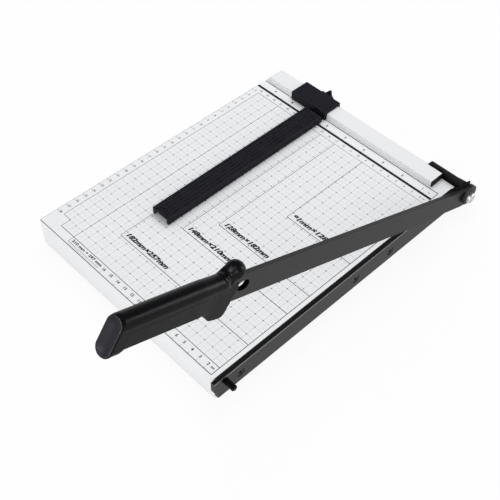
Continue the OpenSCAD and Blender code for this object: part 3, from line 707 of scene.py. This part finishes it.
def printed_grid():
    """Centimetre grid with dots on its crossings, and fine lines half-way."""
    fine, coarse, dots = Print(), Print(), Print()
    ruled(fine, GRID_U - CM//2, GRID_V - CM//2, width=0.13)
    ruled(coarse, GRID_U, GRID_V, width=0.26)
    for u in range(GRID_U, int(LEFT), CM):
        for v in range(GRID_V, int(FRONT), CM):
            dots.dot(u, v, radius=0.6)
    fine.piece("print_fine_grid", "ink_faint")
    coarse.piece("print_grid", "ink_grid")
    dots.piece("print_grid_dots", "ink_dot")


def printed_lines():
    """Frames, the outlines of the sheet sizes, and a black line beside the rail that paints the shadow in the gap
    between board and rail.
    """
    thick, thin = Print(), Print()
    thick.bar(OUTER_LEFT, THICK_LINE, RIGHT, THICK_LINE, width=2.9)
    thick.bar(OUTER_LEFT, ZERO_LINE, RIGHT, ZERO_LINE, width=0.8)
    # Painted shadow: black ink along the gap between board and rail.
    joint_shadow_u = (RULE_X - BOARD_HIGH.x)/MM + JOINT_SHADOW_IN
    joint_shadow_front = (RULE_Y - BOARD_LOW.y)/MM - JOINT_SHADOW_SHORT
    thick.bar(joint_shadow_u, (RULE_Y - RAIL_HIGH.y)/MM, joint_shadow_u, joint_shadow_front, width=0.8)
    thin.bar(RIGHT, ZERO_LINE, RIGHT, OUTER_FRONT, width=0.65)
    thick.bar(OUTER_LEFT, OUTER_FRONT, RIGHT, OUTER_FRONT, width=0.65)
    thin.bar(OUTER_LEFT, THICK_LINE, OUTER_LEFT, OUTER_FRONT, width=0.16)
    thin.path([(RIGHT, BACK), (LEFT, BACK), (LEFT, JOG_V), (JOG_U, JOG_V), (JOG_U, FRONT)], width=0.42)
    thick.bar(JOG_U, FRONT, RIGHT, FRONT, width=0.55)
    for u, v in SHEET_SIZES:
        thin.bar(u, BACK, u, v, width=0.46)
        thin.bar(u, v, RIGHT, v, width=0.6)
    thin.bar(LONG_U, BACK, LONG_U, LONG_LINE, width=0.42)
    thick.bar(LONG_U, LONG_LINE, LONG_U - LONG_CORNER, LONG_LINE, width=0.35)
    thick.piece("print_heavy_lines", "ink_black")
    thin.piece("print_lines", "ink_line")


def printed_scales():
    """Marks and figures along the edges, and the sizes beside the sheet outlines."""
    marks, figures = Print(), Print()

    def scale(numbers, step, line, mark, width, at, height, weight):
        """Numbered marks along u that start from a line, with their figures centred on v = at."""
        for n in numbers:
            marks.bar(step*n, line, step*n, line + mark, width)
            figures.write(str(n), step*n, at, height, weight)

    for n in SIDE_CM:
        marks.bar(OUTER_LEFT, CM*n, OUTER_LEFT - SIDE_MARK, CM*n, width=0.35)
        figures.write(str(n), SIDE_FIGURE_U, CM*n - SIDE_FIGURE_UP, height=2.6, weight=0.04)
    scale(BACK_CM, CM, THICK_LINE, mark=2, width=0.22, at=CM_FIGURE_V, height=2.6, weight=0.03)
    scale(BACK_INCHES, INCH, THICK_LINE, mark=-2.6, width=0.22, at=INCH_FIGURE_V, height=3.0, weight=0.12)
    scale(FRONT_CM, CM, OUTER_FRONT, mark=-2.2, width=0.25, at=FRONT_FIGURE_V, height=3.0, weight=0.14)
    for u in FINE_MARKS:
        marks.bar(u, OUTER_FRONT, u, OUTER_FRONT - FINE_MARK, width=0.09)
    for u, v in SHEET_SIZES:
        figures.write(f"{u}mm×{v}mm", u - LABEL_IN, v - LABEL_UP,
                      height=4.8, weight=0.34, lean=0.24, length=57)
    figures.write(f"{LONG_U} mm × {LONG_V} mm", LONG_U - LONG_LABEL_IN, LONG_LABEL_V,
                  height=2.9, weight=0.16, length=43)
    figures.write("in", INCH_UNIT_U, INCH_FIGURE_V, height=2.2, weight=0.02)
    figures.write("cm", CM_UNIT_U, CM_UNIT_V, height=2.0, weight=0.02)
    figures.write("cm", FRONT_UNIT_U, FRONT_FIGURE_V, height=2.4, weight=0.1)
    marks.piece("print_marks", "ink_line")
    figures.piece("print_figures", "ink_black")


printed_grid()
printed_lines()
printed_scales()


# Floor, light and camera, in metres

FLOOR_REACH = 12
FLOOR_TONES = ((0.80, 0.80, 0.80), (0.82, 0.82, 0.82))
FLOOR_WHITE, FLOOR_GLOW = 1.012, 0.9
SKY_COLOR = (0.98, 0.99, 1.0, 1)
SKY_LIGHT = 0.62
LENS, SENSOR_W = 64.251, 36
CAMERA_FROM_ZERO = Vector((0.294204, -0.558303, 0.625196))
CAMERA_TURN = Euler((0.706985, -0.009123, 0.801066))
ORIGIN, HANDLE_AREA = (0, 0, 0), (0.12, -0.11, 0.17)


def floor_material():
    """Pale floor that the camera sees as white, with the object's shadow kept; mirrors see it white far off and
    darker near the object, as painted shade.
    """
    f = Finish("studio_floor", Roughness=0.9, Specular_IOR_Level=0.0)
    f.feed("Base Color", f.blend(f.span(f.noise(scale=3), 0, 1), *FLOOR_TONES))
    away = f.node("ShaderNodeVectorMath", operation="LENGTH")
    f.link(f.place, away.inputs[0])
    # Painted shade: in mirrors the floor's glow falls from 1.0 far off to 0.65 near the object.
    mirrored = f.span(away.outputs["Value"], low=0.65, high=1.0, start=0.2, end=0.7)
    path = f.node("ShaderNodeLightPath")
    seen = path.outputs["Is Camera Ray"]
    glow = f.node("ShaderNodeEmission")
    f.link(f.combine("MAXIMUM", f.span(seen, 0, FLOOR_WHITE, 0, 1), mirrored), glow.inputs["Strength"])
    for ray in ("Is Glossy Ray", "Is Transmission Ray"):
        seen = f.combine("MAXIMUM", seen, path.outputs[ray])
    mixed = f.node("ShaderNodeMixShader")
    f.link(f.combine("MULTIPLY", seen, FLOOR_GLOW), mixed.inputs["Fac"])
    f.link(f.shader.outputs["BSDF"], mixed.inputs[1])
    f.link(glow.outputs["Emission"], mixed.inputs[2])
    f.link(mixed.outputs["Shader"], f.tree.nodes["Material Output"].inputs["Surface"])
    return f.material


def studio_floor():
    r = FLOOR_REACH
    mesh = bpy.data.meshes.new("studio_floor")
    mesh.from_pydata([(-r, -r, 0), (r, -r, 0), (r, r, 0), (-r, r, 0)], [], [(0, 1, 2, 3)])
    mesh.materials.append(floor_material())
    floor = bpy.data.objects.new("studio_floor", mesh)
    bpy.context.scene.collection.objects.link(floor)


def studio_sky():
    """White to the camera, even light for the surfaces, and in the gloss bright near the horizon only."""
    world = bpy.data.worlds.new("studio")
    bpy.context.scene.world = world
    world.use_nodes = True
    w = Graph(world.node_tree)
    sky = w.tree.nodes["Background"]
    sky.inputs["Color"].default_value = SKY_COLOR
    path = w.node("ShaderNodeLightPath")
    height = w.node("ShaderNodeSeparateXYZ")
    w.link(w.node("ShaderNodeTexCoord").outputs["Generated"], height.inputs["Vector"])
    mirrored = w.span(height.outputs["Z"], low=0.9, high=0.12, start=0.05, end=0.45)
    light = w.span(path.outputs["Is Glossy Ray"], SKY_LIGHT, mirrored, start=0, end=1)
    w.link(w.combine("MAXIMUM", path.outputs["Is Camera Ray"], light), sky.inputs["Strength"])


def softbox(name, spot, aim, size, watts, shown_in=None):
    """A lamp that lights the surfaces or only shows in the gloss of the given pieces."""
    lamp = bpy.data.lights.new(name, "AREA")
    lamp.shape = "RECTANGLE"
    lamp.size, lamp.size_y = size
    lamp.energy = watts
    holder = bpy.data.objects.new(name, lamp)
    bpy.context.scene.collection.objects.link(holder)
    holder.location = spot
    holder.rotation_euler = (Vector(aim) - Vector(spot)).to_track_quat("-Z", "Y").to_euler()
    holder.visible_glossy = shown_in is not None
    holder.visible_diffuse = shown_in is None
    if shown_in is not None:
        holder.light_linking.receiver_collection = shown_in


def lamps():
    shiny = bpy.data.collections.new("shiny")
    for name in ("grip", "grip_cap", "stud", "hex_nut"):
        shiny.objects.link(bpy.data.objects[name])
    softbox("key", (-0.2, 0.6, 1.35), ORIGIN, (0.9, 0.9), watts=8)
    softbox("front_fill", (0.3, -1.4, 0.5), ORIGIN, (1.2, 0.8), watts=8)
    softbox("top", (0.44, -0.52, 1.24), HANDLE_AREA, (0.3, 0.3), watts=3, shown_in=shiny)
    softbox("front_card", (-0.15, -1.4, 0.9), HANDLE_AREA, (1.2, 0.8), watts=24, shown_in=shiny)
    softbox("rim_card", (1.1, 1.5, 0.55), HANDLE_AREA, (0.6, 1.0), watts=10, shown_in=shiny)
    softbox("side_card", (1.2, -0.9, 0.8), HANDLE_AREA, (0.4, 0.4), watts=8, shown_in=shiny)


def camera():
    lens = bpy.data.cameras.new("camera")
    lens.lens = LENS
    lens.sensor_width = SENSOR_W
    holder = bpy.data.objects.new("camera", lens)
    bpy.context.scene.collection.objects.link(holder)
    holder.location = Vector((RULE_X, RULE_Y, BOARD_TOP)) + CAMERA_FROM_ZERO
    holder.rotation_euler = CAMERA_TURN
    bpy.context.scene.camera = holder


studio_floor()
studio_sky()
lamps()
camera()
bpy.context.scene.view_settings.view_transform = "Standard"
